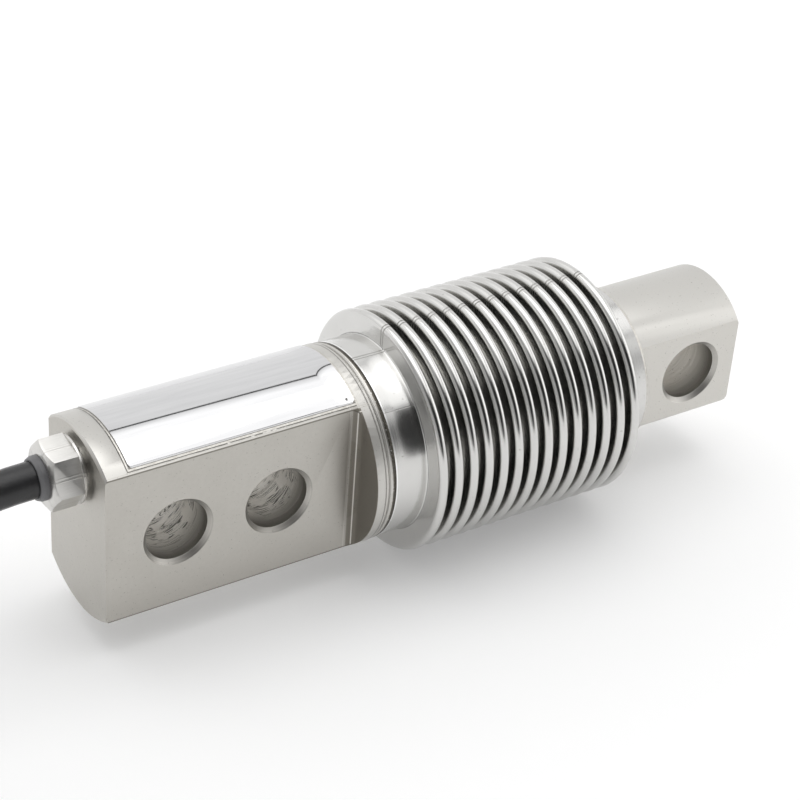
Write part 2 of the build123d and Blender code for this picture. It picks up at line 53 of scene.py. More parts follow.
camera_data = bpy.data.cameras.new("camera")
camera_data.sensor_width = 36.0
camera_data.lens = 105.2
camera_data.clip_start = 0.01
camera_data.clip_end = 20.0
camera = link(bpy.data.objects.new("camera", camera_data))
camera_place = Vector((-141.35, -260.52, 216.29)) * MM
camera_look = Vector((0.46831, 0.68575, -0.55717)).normalized()
camera_right = Vector((0.84736, -0.52724, 0.0633)).normalized()
camera_up = camera_right.cross(camera_look).normalized()
camera_right = camera_look.cross(camera_up)
camera_turn = Matrix((camera_right, camera_up, -camera_look)).transposed().to_4x4()
camera.matrix_world = Matrix.Translation(camera_place) @ camera_turn
bpy.context.scene.camera = camera


# Cable: nearly three metres of round black lead. It leaves the gland's seal, comes down to the
# table and is folded there, out of the picture, into a slim hank of eight turns and the start of
# a ninth.
cable_diameter = 5.8
cable_radius = cable_diameter / 2
floor_turn = -20.3 + cable_radius
hank_loop_radius = 17.4
hank_side = hank_loop_radius + cable_diameter
cable_route = [
    (-28.2, 0.0, 9.9),
    (-33.5, 0.0, 9.9),
    (-39.4, -0.4, 9.0),
    (-48.9, -2.0, 6.0),
    (-57.2, -5.9, 1.2),
    (-67.7, -15.6, -10.1),
    (-75.3, -19.7, -14.4),
    (-83.1, -22.1, -16.7),
    (-91.5, -hank_side, floor_turn),
    (-96.6, -hank_side, floor_turn),
]
hank_run = 102.0
hank_stub = 17.0
tail_past_tie = 6.0
near_loop = cable_route[-1][0] - hank_stub
waist_x = near_loop - hank_run / 2
far_loop = near_loop - hank_run
waist_rise = hank_side + cable_radius - 2 * cable_diameter
waist_centre = ((hank_run / 2) ** 2 - waist_rise ** 2) / (2 * waist_rise)
waist_arc = waist_centre - cable_radius
waist_angle = math.atan2(waist_centre, hank_run / 2)
loop_angle = math.pi - waist_angle

# Every turn follows the same five arcs: centre, where the arc starts, how far it turns, and
# whether a strand further out has a larger radius there.
hank_arcs = [
    ((near_loop, 0.0), -math.pi / 2, math.pi / 2 - loop_angle, 1),
    ((waist_x, -waist_centre), waist_angle, math.pi - 2 * waist_angle, -1),
    ((far_loop, 0.0), -waist_angle, -2 * loop_angle, 1),
    ((waist_x, waist_centre), -loop_angle, math.pi - 2 * waist_angle, -1),
    ((near_loop, 0.0), loop_angle, -loop_angle - math.pi / 2, 1),
]
points_per_turn = 24


def smooth(t):
    t = min(max(t, 0.0), 1.0)
    return t * t * (3 - 2 * t)


def arc_radius(outside, aside):
    return hank_loop_radius + aside if outside > 0 else waist_arc - aside


arc_lengths = [abs(turn) * arc_radius(outside, cable_radius) for _, _, turn, outside in hank_arcs]
turn_length = sum(arc_lengths)


def hank_outline(phase, aside):
    """A turn's control point in plan, set so far outside the arc that the curve follows the arc."""
    along = phase * turn_length
    for (centre, start, turn, outside), length in zip(hank_arcs, arc_lengths):
        if along < length:
            break
        along -= length
    radius = arc_radius(outside, aside)
    step = turn_length / points_per_turn * radius / arc_radius(outside, cable_radius)
    radius += step * step / (8 * radius)
    angle = start + turn * min(along / length, 1.0)
    return Vector((centre[0] + radius * math.cos(angle), centre[1] + radius * math.sin(angle)))


# A strand takes the outer or the inner place of each layer in turn, from the table up. Each move
# over to the next place comes a little earlier in the turn than the move before it.
strand_count = 9
places = [((0, 1, 1, 0)[number % 4], number // 2) for number in range(strand_count)]
first_move = 0.85
move_lead = 0.06
move_length = 0.24
squeeze_reach = 12.0
squeeze = 0.06


def hank_point(turned):
    inner, layer = places[0]
    for number, (before, after) in enumerate(zip(places, places[1:])):
        middle = number + first_move - move_lead * number
        share = smooth((turned - middle) / move_length + 0.5)
        inner += (after[0] - before[0]) * share
        layer += (after[1] - before[1]) * share
    plan = hank_outline(turned % 1.0, (1 - inner) * cable_diameter)
    height = floor_turn + layer * cable_diameter
    held = squeeze * (1 - smooth(abs(plan.x - waist_x) / squeeze_reach))
    middle_height = floor_turn + 2 * cable_diameter
    height = middle_height + (height - middle_height) * (1 - held)
    return Vector((plan.x, plan.y * (1 - held), height))


last_strand_arc = waist_arc - cable_diameter
tail_turn = math.asin(tail_past_tie / last_strand_arc)
tail_share = (math.pi / 2 - waist_angle + tail_turn) / (math.pi - 2 * waist_angle)
tail_phase = (arc_lengths[0] + arc_lengths[1] * tail_share) / turn_length
last_turn = strand_count - 1
steps = int((last_turn + tail_phase) * points_per_turn)
hank_points = [hank_point(step / points_per_turn) for step in range(steps)]
tail_end = Vector((
    waist_x - last_strand_arc * math.sin(tail_turn),
    last_strand_arc * math.cos(tail_turn) - waist_centre,
    floor_turn + last_turn / 2 * cable_diameter,
))
cable_points = [Vector(point) * MM for point in cable_route + hank_points + [tail_end]]


def cord_curve(name, points, radius, steps):
    """A round cord along one smooth spline with these control points."""
    data = bpy.data.curves.new(name, "CURVE")
    data.dimensions = "3D"
    data.resolution_u = steps
    data.bevel_depth = radius
    data.bevel_resolution = 5
    data.use_fill_caps = True
    spline = data.splines.new("NURBS")
    spline.points.add(len(points) - 1)
    for point, place in zip(spline.points, points):
        point.co = (*place, 1.0)
    spline.order_u = 3
    spline.use_endpoint_u = True
    return link(bpy.data.objects.new(name, data))


class Value:
    """A socket of a node tree, to be used in sums."""

    def __init__(self, tree, socket):
        self.tree = tree
        self.socket = socket

    def sum(self, operation, first, second=None):
        return self.tree.node("ShaderNodeMath", {"operation": operation}, {0: first, 1: second})

    def __add__(self, other):
        return self.sum("ADD", self, other)

    def __radd__(self, other):
        return self.sum("ADD", other, self)

    def __sub__(self, other):
        return self.sum("SUBTRACT", self, other)

    def __rsub__(self, other):
        return self.sum("SUBTRACT", other, self)

    def __mul__(self, other):
        return self.sum("MULTIPLY", self, other)

    def __rmul__(self, other):
        return self.sum("MULTIPLY", other, self)

    def __truediv__(self, other):
        return self.sum("DIVIDE", self, other)

    def __rtruediv__(self, other):
        return self.sum("DIVIDE", other, self)

    def __mod__(self, other):
        return self.sum("FLOORED_MODULO", self, other)

    def __pow__(self, other):
        return self.sum("POWER", self, other)

    def __gt__(self, other):
        return self.sum("GREATER_THAN", self, other)

    def __abs__(self):
        return self.sum("ABSOLUTE", self)

    def floor(self):
        return self.sum("FLOOR", self)

    def sine(self):
        return self.sum("SINE", self)

    def cosine(self):
        return self.sum("COSINE", self)

    def angle_to(self, other):
        return self.sum("ARCTAN2", self, other)

    def largest(self, other):
        return self.sum("MAXIMUM", self, other)

    def smallest(self, other):
        return self.sum("MINIMUM", self, other)


class Tree:
    """A node tree whose nodes are made by one method."""

    def __init__(self, node_tree):
        self.node_tree = node_tree

    def node(self, kind, settings=None, sockets=None, output=0):
        made = self.node_tree.nodes.new(kind)
        for name, value in (settings or {}).items():
            if name == "stops":
                elements = made.color_ramp.elements
                while len(elements) < len(value):
                    elements.new(0.5)
                for element, (position, colour) in zip(elements, value):
                    element.position = position
                    element.color = colour
            else:
                setattr(made, name, value)
        for name, value in (sockets or {}).items():
            if isinstance(value, Value):
                self.node_tree.links.new(value.socket, made.inputs[name])
            elif value is not None:
                made.inputs[name].default_value = value
        return Value(self, made.outputs[output])


class Finish(Tree):
    """A material with one Principled shader, worked out in millimetres of the part's own frame."""

    def __init__(self, name, colour, **sockets):
        self.material = bpy.data.materials.new(name)
        self.material.use_nodes = True
        super().__init__(self.material.node_tree)
        self.shader = self.node_tree.nodes["Principled BSDF"]
        self.feed("Base Color", (*colour, 1.0))
        for socket, value in sockets.items():
            self.feed(socket.replace("_", " "), value)
        metres = self.node("ShaderNodeTexCoord", output="Object")
        scale = {0: metres, "Scale": 1 / MM}
        self.place = self.node("ShaderNodeVectorMath", {"operation": "SCALE"}, scale)
        split = self.node("ShaderNodeSeparateXYZ", {}, {0: self.place})
        self.x, self.y, self.z = [Value(self, socket) for socket in split.socket.node.outputs]

    def feed(self, socket, value):
        if isinstance(value, Value):
            self.node_tree.links.new(value.socket, self.shader.inputs[socket])
        else:
            self.shader.inputs[socket].default_value = value

    def stretched(self, x, y, z):
        sockets = {0: self.place, 1: (x, y, z)}
        return self.node("ShaderNodeVectorMath", {"operation": "MULTIPLY"}, sockets)

    def noise(self, scale, place=None, detail=3.0, distortion=0.0):
        sockets = {"Vector": place or self.place, "Scale": scale}
        sockets.update({"Detail": detail, "Distortion": distortion})
        return self.node("ShaderNodeTexNoise", {}, sockets)

    def step(self, value, low, high, first=0.0, last=1.0):
        """Smooth step from first to last while the value goes from low to high."""
        sockets = {"Value": value, 1: low, 2: high, 3: first, 4: last}
        return self.node("ShaderNodeMapRange", {"interpolation_type": "SMOOTHSTEP"}, sockets)

    def line(self, value, half, soft):
        """1 where the value is within half of zero, fading out over soft."""
        return self.step(abs(value), half + soft, half)

    def mix(self, share, first, second):
        colours = [(*c, 1.0) if isinstance(c, tuple) else c for c in (first, second)]
        sockets = {0: share, 6: colours[0], 7: colours[1]}
        return self.node("ShaderNodeMix", {"data_type": "RGBA"}, sockets, output=2)

    def relief(self, height):
        """Relief of a height in millimetres."""
        self.feed("Normal", self.node("ShaderNodeBump", {}, {"Height": height, "Distance": MM}))


def settle(obj):
    """Make a piece's modifiers its mesh."""
    graph = bpy.context.evaluated_depsgraph_get()
    mesh = bpy.data.meshes.new_from_object(obj.evaluated_get(graph), depsgraph=graph)
    raw = obj.data
    obj.modifiers.clear()
    obj.data = mesh
    bpy.data.meshes.remove(raw)


def machined(node_name, name, finish, edge, facet=30.0):
    """A piece with a CAD solid's shape and its sharp edges broken."""
    shape = bmesh.new()
    shape.from_mesh(nodes[node_name].data)
    bmesh.ops.remove_doubles(shape, verts=shape.verts, dist=1.5e-6)
    flat_angle = math.radians(0.1)
    bmesh.ops.dissolve_limit(shape, angle_limit=flat_angle, verts=shape.verts, edges=shape.edges)
    mesh = bpy.data.meshes.new(name)
    shape.to_mesh(mesh)
    shape.free()
    mesh.shade_smooth()
    mesh.set_sharp_from_angle(angle=math.radians(facet))
    obj = link(bpy.data.objects.new(name, mesh))
    if edge:
        bevel = obj.modifiers.new("broken_edges", "BEVEL")
        bevel.width = edge * MM
        bevel.segments = 2
        bevel.limit_method = "ANGLE"
        bevel.angle_limit = math.radians(facet)
        bevel.harden_normals = True
        settle(obj)
    obj.data.materials.clear()
    obj.data.materials.append(finish.material)
    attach(obj, "root")
    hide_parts(node_name)
    return obj


cable = cord_curve("cable", cable_points, cable_radius * MM, 3)
jacket = Finish("cable_jacket", (0.012, 0.012, 0.013), Roughness=0.34)
jacket.feed("Base Color", jacket.mix(jacket.noise(0.4), (0.009, 0.009, 0.01), (0.02, 0.02, 0.021)))
jacket.feed("Roughness", jacket.noise(1.2) * 0.2 + 0.26)
jacket.relief(jacket.noise(2.5) * 0.03)
cable.data.materials.append(jacket.material)
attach(cable, "root")
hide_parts("cable_lead", "cable_hank")

# The hank's end: a nylon tie round the waist, a shrunk sleeve over the stripped end, and four cores
# with tinned tips beside the twisted tail of the shield.
nylon = Finish("tie_nylon", (0.03, 0.03, 0.032))
nylon.feed("Base Color", nylon.mix(nylon.noise(0.8), (0.022, 0.022, 0.024), (0.045, 0.045, 0.048)))
nylon.feed("Roughness", nylon.noise(2.0) * 0.2 + 0.3)
nylon.relief(nylon.noise(3.0) * 0.02)
tie = machined("cable_tie", "tie", nylon, 0.15)
shrunk = Finish("shrunk_sleeve", (0.02, 0.02, 0.02))
wrinkles = shrunk.noise(1.0, shrunk.stretched(2.5, 0.5, 0.5))
shrunk.feed("Base Color", shrunk.mix(wrinkles, (0.015, 0.015, 0.015), (0.035, 0.035, 0.036)))
shrunk.feed("Roughness", wrinkles * 0.2 + 0.4)
shrunk.relief(wrinkles * 0.06)
sleeve = machined("end_sleeve", "sleeve", shrunk, 0.2)
tip_length = 5.0
core_colours = {
    "core_red": (0.5, 0.012, 0.01),
    "core_white": (0.75, 0.74, 0.71),
    "core_green": (0.01, 0.2, 0.05),
    "core_black": (0.012, 0.012, 0.013),
    "shield_tail": (0.62, 0.6, 0.57),
}
for name, colour in core_colours.items():
    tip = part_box(name)[0][0] / MM
    core = Finish(name, colour)
    strands = core.noise(1.0, core.stretched(1.5, 5.0, 5.0))
    tinned = core.step(core.x, tip + tip_length + 0.1, tip + tip_length)
    if name == "shield_tail":
        tinned = core.step(core.x, tip + tip_length, tip - 1.0) * 0.3 + 0.7
    faded = core.mix(strands, tuple(c * 0.85 for c in colour), colour)
    core.feed("Base Color", core.mix(tinned, faded, (0.62, 0.61, 0.59)))
    core.feed("Metallic", tinned)
    core.feed("Roughness", 0.42 + strands * 0.15 - tinned * 0.12)
    core.relief(strands * (tinned * 0.03 + 0.005))
    nodes[name].material_slots[0].material = core.material


# Table: a plain pale sheet that the cell lies on, carried by the crests of its bellows. It gives
# off a little light of its own, which keeps the shadows on it faint.
table_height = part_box("bellows")[0][2]
table_reach = 4.0
table_mesh = bpy.data.meshes.new("table")
table_signs = [(-1, -1), (1, -1), (1, 1), (-1, 1)]
table_corners = [(x * table_reach, y * table_reach, table_height) for x, y in table_signs]
table_mesh.from_pydata(table_corners, [], [(0, 1, 2, 3)])
table = link(bpy.data.objects.new("table", table_mesh))
sheet = Finish("pale_sheet", (0.78, 0.78, 0.78), Roughness=0.95, Emission_Strength=0.22)
sheet.feed("Emission Color", (1.0, 1.0, 1.0, 1.0))
table_mesh.materials.append(sheet.material)

# Studio: a white ceiling of soft light over pale walls, with the dark rim of the ceiling's frame
# between them. The room is dark at the side that the picture is taken from, dimmer above it, and
# has a bright window at the load end.
world = bpy.data.worlds.new("studio")
world.use_nodes = True
bpy.context.scene.world = world
room = Tree(world.node_tree)
direction = room.node("ShaderNodeTexCoord", output="Generated")
split = room.node("ShaderNodeSeparateXYZ", {}, {0: direction})
height = Value(room, split.socket.node.outputs[2])
wall_light = 0.98
rim_light = 0.03
ceiling_edge = 0.98
ceiling_light = 1.45
stops = [
    (0.0, (wall_light, wall_light, wall_light, 1)),
    (0.745, (wall_light, wall_light, wall_light, 1)),
    (0.750, (rim_light, rim_light, rim_light, 1)),
    (0.762, (rim_light, rim_light, rim_light, 1)),
    (0.770, (ceiling_edge, ceiling_edge, ceiling_edge, 1)),
    (0.825, (ceiling_light, ceiling_light, ceiling_light, 1)),
]
bands = room.node("ShaderNodeValToRGB", {"stops": stops}, {"Fac": height})


def facing(aim, outside, inside):
    """1 towards the direction aim and 0 away from it, between the two cosines."""
    product = {"operation": "DOT_PRODUCT"}
    cosine = room.node("ShaderNodeVectorMath", product, {0: direction, 1: aim}, output=1)
    sockets = {"Value": cosine, 1: outside, 2: inside}
    return room.node("ShaderNodeMapRange", {"interpolation_type": "SMOOTHSTEP"}, sockets)


dim_side = facing((-0.82, -0.5, 0.25), 0.35, 0.75) * 0.5
standing = facing((0.031, -0.882, 0.469), 0.80, 0.927) * 0.96
overhead = facing((-0.435, -0.557, 0.707), 0.91, 0.985) * 0.75
window = facing((0.95, -0.2, 0.2), 0.82, 0.94) * 0.6
far_corner = facing((-0.32, 0.62, 0.72), 0.86, 0.97) * 0.3
level = (1 - dim_side) * (1 - standing) * (1 - overhead) * (1 + (window + far_corner))
light = room.node("ShaderNodeVectorMath", {"operation": "SCALE"}, {0: bands, "Scale": level})
background = world.node_tree.nodes["Background"]
world.node_tree.links.new(light.socket, background.inputs["Color"])
bpy.context.scene.view_settings.view_transform = "Standard"


lamp_data = bpy.data.lights.new("ceiling_box", "AREA")
lamp_data.shape = "SQUARE"
lamp_data.size = 0.9
lamp_data.energy = 2.0
lamp = link(bpy.data.objects.new("ceiling_box", lamp_data))
lamp_place = Vector((0.1, 0.1, 1.2))
lamp_target = Vector((0.03, 0.0, 0.0))
lamp_turn = (lamp_target - lamp_place).to_track_quat("-Z", "Y").to_matrix().to_4x4()
lamp.matrix_world = Matrix.Translation(lamp_place) @ lamp_turn


# Spring element: block, collar, measuring beam and load end, one bar of stainless steel, turned
# and then milled. The edges are broken with a brush. Its flats are milled, its round backs turned.
bar_radius = 16.5
half_block = 9.75
half_load_end = 9.5
block_end = -21.0
shoulder_x = 22.5
shoulder_fillet = 1.6
bolt_holes_x = (-8.75, 8.75)
load_hole_x = 89.76
hole_radius = 5.25
hole_chamfer = 0.75
turned_radius = 12.3
collar_ridges_x = (24.1, 24.9)
collar_end = 26.5
beyond_block = 39.0
load_end_x = 76.0
cover_start = -16.7
cover_end = 22.1
cover_side = 8.9
weld_width = 0.35
steel = Finish("satin_steel", (0.52, 0.5, 0.47), Metallic=1.0)
across = (steel.y * steel.y + steel.z * steel.z) ** 0.5
side = abs(steel.y)
on_block = steel.step(steel.x, shoulder_x - 0.1, shoulder_x - 0.4)
flat = steel.step(abs(side - half_block).smallest(abs(side - half_load_end)), 0.06, 0.03)
turned = steel.step(across, turned_radius, turned_radius + 0.1) * (1 - flat)
turned = turned * steel.step(steel.x, block_end + 0.1, block_end + 0.2)
turned = turned * (1 - steel.line(steel.x - shoulder_x, 0.05, 0.05))
along_bar = abs(abs(steel.x) - bolt_holes_x[1]).smallest(abs(steel.x - load_hole_x))
hole_distance = (along_bar * along_bar + steel.z * steel.z) ** 0.5
in_hole = steel.step(hole_distance, hole_radius + 0.06, hole_radius + 0.02)
in_hole = in_hole * steel.step(across, bar_radius - 0.5, bar_radius - 1.0)
chamfer_radius = hole_radius + hole_chamfer
chamfered = steel.step(hole_distance, hole_radius + 0.06, hole_radius + 0.1) * (1 - flat)
chamfered = chamfered * steel.step(hole_distance, chamfer_radius + 0.02, chamfer_radius)

# The step beside the collar is rougher than the flats and painted darker, as painted shade, with
# painted highlights down its corner and its fillet. The flats are painted darker, as painted
# shade, towards the step and towards their lower edge.
# The step's mask: rougher, and painted shade in its colour.
step_face = steel.step(steel.x, shoulder_x - shoulder_fillet, shoulder_x - shoulder_fillet * 0.6)
step_face = step_face * steel.step(steel.x, shoulder_x + 0.12, shoulder_x + 0.06)
step_face = step_face * steel.step(side, half_block + 0.02, half_block + 0.06)
corner_side = half_block + shoulder_fillet * 0.3
# Painted highlights: a bright line where the fillet starts and one down the step's corner.
fillet_highlight = steel.line(steel.x - shoulder_x + shoulder_fillet, 0.03, 0.08) * on_block * 0.3
corner_highlight = steel.line(side - corner_side, 0.03, 0.08) * step_face
painted_highlights = fillet_highlight.largest(corner_highlight)
# A thin line of painted shade where the block's flats meet its round back.
edge_shade_line = steel.step(side, half_block - 0.1, half_block - 0.04)
edge_shade_line = edge_shade_line * steel.step(across, bar_radius - 0.2, bar_radius - 0.12)
# Painted shade: the flats darker towards the step and towards their lower edge.
shaded_end = steel.step(steel.x, 14.0, 23.0) * on_block * 0.5
shaded_foot = on_block * flat * steel.step(steel.z, -4.0, -16.0) * 0.5

# Drilling tore the walls of the two mounting holes: short cracks that follow the circumference.
torn = steel.noise(1.0, steel.stretched(0.07, 0.75, 0.07), detail=2, distortion=0.7)
torn_patches = steel.step(steel.noise(0.4, detail=1), 0.42, 0.5)
cracks = steel.line(torn % 0.08 - 0.04, 0.003, 0.012) * torn_patches
# Painted light deep in the holes and painted shade near their mouths.
painted_hole_light = steel.step(side, 9.4, 3.2)
cracks = cracks * in_hole * steel.step(side, 7.0, 4.5)
cracks = cracks * steel.step(steel.x, beyond_block + 1.0, beyond_block)
bored = steel.noise(1.0, steel.stretched(0.15, 0.9, 0.15), detail=1)

# The toe of the weld round the cover: an irregular dark line on the land beside it.
past_cover = (side - cover_side).largest(cover_start - steel.x).largest(steel.x - cover_end)
toe_wander = steel.noise(0.5, detail=3) * 0.5
toe = steel.line(past_cover - weld_width + 0.02 - toe_wander * 0.3, 0.05, 0.08) * turned * on_block
toe = toe * steel.step(steel.z, 0.0, 1.0) * steel.step(steel.noise(0.8, detail=3), 0.3, 0.42)

cloud = steel.noise(0.12, detail=4)
grain = steel.noise(6.0, detail=2)
speck = steel.step(steel.noise(3.2, detail=1), 0.70, 0.76)
milling = steel.noise(1.0, steel.stretched(0.4, 1.0, 6.0), detail=3)
turning = steel.noise(1.0, steel.stretched(9.0, 0.1, 0.1), detail=3)
collar = turned * (1 - on_block) * steel.step(steel.x, collar_end + 0.5, collar_end)
ridges = steel.line(steel.x - collar_ridges_x[0], 0.05, 0.08)
ridges = ridges.largest(steel.line(steel.x - collar_ridges_x[1], 0.06, 0.08) * 0.7)
mottle = steel.step(steel.noise(1.8, detail=4), 0.3, 0.7)
tone = steel.mix(cloud, (0.485, 0.468, 0.432), (0.565, 0.548, 0.512))
tone = steel.mix(mottle * 0.1, tone, (0.38, 0.365, 0.335))
tone = steel.mix(turned * 0.7, tone, (0.60, 0.59, 0.565))
# Painted shade towards the step and the flats' lower edge.
tone = steel.mix(shaded_end.largest(shaded_foot), tone, (0.36, 0.34, 0.31))
on_load_end = steel.step(steel.x, load_end_x, load_end_x + 2.0)
tone = steel.mix(on_load_end * (0.5 - turned * 0.35), tone, (0.74, 0.725, 0.69))
# Painted shade on the step beside the collar.
tone = steel.mix(step_face * 0.95, tone, (0.29, 0.27, 0.235))
# The hole walls: painted shade near the mouth, painted light deeper in, where the bore marks are painted
# lighter too.
hole_wall_shading = steel.mix(painted_hole_light, (0.17, 0.16, 0.14), (0.86, 0.84, 0.80))
tone = steel.mix(in_hole * 0.95, tone, hole_wall_shading)
tone = steel.mix(in_hole * steel.step(bored, 0.35, 0.75) * painted_hole_light * 0.3, tone, (0.8, 0.79, 0.76))
tone = steel.mix(chamfered * 0.5, tone, (0.4, 0.385, 0.36))
tone = steel.mix(collar * ridges * 0.6, tone, (0.12, 0.11, 0.1))
dark_marks = (cracks * 0.85).largest(toe * 0.8).largest(speck * 0.35)
tone = steel.mix(dark_marks, tone, (0.07, 0.065, 0.055))
# Painted highlights down the step's corner and fillet.
tone = steel.mix(painted_highlights * 0.8, tone, (0.9, 0.88, 0.84))
# Painted shade line along the top edges of the flats.
tone = steel.mix(edge_shade_line * on_block * 0.75, tone, (0.14, 0.13, 0.11))
steel.feed("Base Color", tone)
coarse = in_hole * 0.25 + step_face * 0.35 - turned * 0.06
steel.feed("Roughness", 0.34 + cloud * 0.08 + grain * 0.06 + coarse)
surface = milling * flat * 0.003 + turning * turned * 0.002 + grain * 0.003
surface = surface + chamfered * turning * 0.01
surface = surface + in_hole * (bored * 0.004 - cracks * 0.05 + torn * 0.2)
steel.relief(surface - toe * 0.04 - ridges * collar * 0.05)
machined("spring_element", "bar", steel, 0.14)


# Bellows: one thin stainless tube with fourteen rounded convolutions, formed by pressure and
# slipped over its two seats. The seam of the tube's own weld runs along its top.
bellows_wall = 0.3
bellows_start = 26.1
bellows_end = 76.66
neck_radius = 16.3
crease_x = 31.6
neck_bend = 0.25
convolutions = 14
crest_pitch = 2.87
first_crest_x = 32.7
last_crest_x = first_crest_x + (convolutions - 1) * crest_pitch
crest_radius = 20.3
crest_bend = 0.85
root_radius = 16.2
tail_radius = 14.1
tail_bend = 1.3
tail_start = 72.16
rows_in_bend = 9
facets_round = 128


def tube_wall():
    """Geometry nodes for a round wall that goes over a crest and under a root in turn."""
    group = bpy.data.node_groups.new("convolutions", "GeometryNodeTree")
    wall = Tree(group)
    sizes = {
        "Convolutions": ("NodeSocketInt", convolutions),
        "Pitch": ("NodeSocketFloat", crest_pitch * MM),
        "First Crest": ("NodeSocketFloat", first_crest_x * MM),
        "Crest Radius": ("NodeSocketFloat", crest_radius * MM),
        "Crest Bend": ("NodeSocketFloat", crest_bend * MM),
        "Root Radius": ("NodeSocketFloat", root_radius * MM),
        "Rows In Bend": ("NodeSocketInt", rows_in_bend),
        "Facets Round": ("NodeSocketInt", facets_round),
    }
    for label, (kind, value) in sizes.items():
        group.interface.new_socket(label, in_out="INPUT", socket_type=kind).default_value = value
    group.interface.new_socket("Material", in_out="INPUT", socket_type="NodeSocketMaterial")
    group.interface.new_socket("Geometry", in_out="OUTPUT", socket_type="NodeSocketGeometry")
    given = group.nodes.new("NodeGroupInput")
    values = [Value(wall, s) for s in given.outputs[:9]]
    count, pitch, first, crest, bend, root, rows, facets, material = values
    mesh_size = {"Vertices X": (count * 2 - 1) * rows, "Vertices Y": facets + 1}
    grid = wall.node("GeometryNodeMeshGrid", {}, mesh_size)
    index = wall.node("GeometryNodeInputIndex")
    row = (index / (facets + 1)).floor()
    column = index % (facets + 1)
    within = row % (rows * 2)
    number = (row / (rows * 2)).floor()
    in_root = within > (rows - 0.5)
    root_bend = pitch * 0.5 - bend
    over = math.pi - within / (rows - 1) * math.pi
    under = math.pi + (within - rows) / (rows - 1) * math.pi
    over_x = bend * over.cosine()
    over_radius = crest - bend + bend * over.sine()
    under_x = pitch * 0.5 + root_bend * under.cosine()
    under_radius = root + root_bend + root_bend * under.sine()
    along = first + number * pitch + over_x + (under_x - over_x) * in_root
    radius = over_radius + (under_radius - over_radius) * in_root
    angle = column / facets * (2 * math.pi)
    point = {0: along, 1: radius * angle.sine(), 2: radius * angle.cosine()}
    place = wall.node("ShaderNodeCombineXYZ", {}, point)
    moved = wall.node("GeometryNodeSetPosition", {}, {"Geometry": grid, "Position": place})
    joined = wall.node("GeometryNodeMergeByDistance", {}, {"Geometry": moved, "Distance": 1e-6})
    real = wall.node("GeometryNodeRealizeInstances", {}, {"Geometry": joined})
    painted = wall.node("GeometryNodeSetMaterial", {}, {"Geometry": real, "Material": material})
    leaving = group.nodes.new("NodeGroupOutput")
    group.links.new(painted.socket, leaving.inputs[0])
    return group


def spun(profile, segments):
    """Round wall from points of distance along the bar and radius, as a bmesh."""
    shape = bmesh.new()
    rings = []
    angles = [2 * math.pi * facet / segments for facet in range(segments)]
    for along, radius in profile:
        points = [Vector((along, radius * math.sin(a), radius * math.cos(a))) * MM for a in angles]
        rings.append([shape.verts.new(point) for point in points])
    for ring, after in zip(rings, rings[1:]):
        for facet in range(segments):
            following = (facet + 1) % segments
            shape.faces.new((ring[facet], ring[following], after[following], after[facet]))
    return shape


def bend_points(centre, radius, start, turn, steps):
    angles = [math.radians(start + turn * step / steps) for step in range(steps + 1)]
    return [(centre[0] + radius * math.cos(a), centre[1] + radius * math.sin(a)) for a in angles]


crest_centre = crest_radius - crest_bend
neck_rise = neck_radius + neck_bend
neck = [(bellows_start, neck_radius), (crease_x - 0.4, neck_radius)]
neck += bend_points((crease_x, neck_rise), neck_bend, -90, 90, 5)
neck += [(crease_x + neck_bend, crest_centre - 0.4), (first_crest_x - crest_bend, crest_centre)]
tail = [(last_crest_x + crest_bend, crest_centre), (last_crest_x + crest_bend, crest_centre - 0.4)]
tail += bend_points((tail_start, tail_radius + tail_bend), tail_bend, 180, 90, 9)
tail += [(tail_start + 0.4, tail_radius), (bellows_end, tail_radius)]

formed = Finish("bellows_steel", (0.64, 0.635, 0.62), Metallic=1.0)
formed_cloud = formed.noise(0.22, detail=4)
rings = formed.noise(1.0, formed.stretched(7.0, 0.12, 0.12), detail=4)
turn_angle = (0.0 - formed.y).angle_to(formed.z) * (180 / math.pi)
formed_across = (formed.y * formed.y + formed.z * formed.z) ** 0.5
on_neck = formed.step(formed_across, 16.6, 16.4) * formed.step(formed.x, 33.0, 32.0)
before_tail = formed.step(formed.x, last_crest_x + 1.49, last_crest_x + 0.49)
seam_turn = 1.5
neck_seam_turn = 4.4
neck_mark_turn = 43.0
seam_place = turn_angle - seam_turn - on_neck * (neck_seam_turn - seam_turn)
seam = formed.line(abs(seam_place) - 0.9, 0.22, 0.35) * before_tail
seam = seam.largest(formed.line(turn_angle - neck_mark_turn, 0.08, 0.2) * on_neck * 0.6)
spots = formed.step(formed.noise(1.6, detail=1), 0.72, 0.78)
# A painted highlight along the end of the neck.
neck_edge_highlight = formed.step(formed.x, bellows_start + 0.3, bellows_start + 0.15)
tinted = formed.mix(formed_cloud, (0.60, 0.595, 0.58), (0.69, 0.685, 0.67))
tinted = formed.mix(neck_edge_highlight * 0.8, tinted, (0.95, 0.95, 0.94))
tinted = formed.mix((seam * 0.75).largest(spots * 0.4), tinted, (0.25, 0.245, 0.23))
formed.feed("Base Color", tinted)
formed.feed("Roughness", 0.13 + formed_cloud * 0.1 + seam * 0.1)
flare = formed.step(formed.x, 27.5, 33.0) * on_neck
formed.relief(rings * 0.004 + formed.noise(5.0) * 0.002 - seam * 0.01 + flare * 0.45)

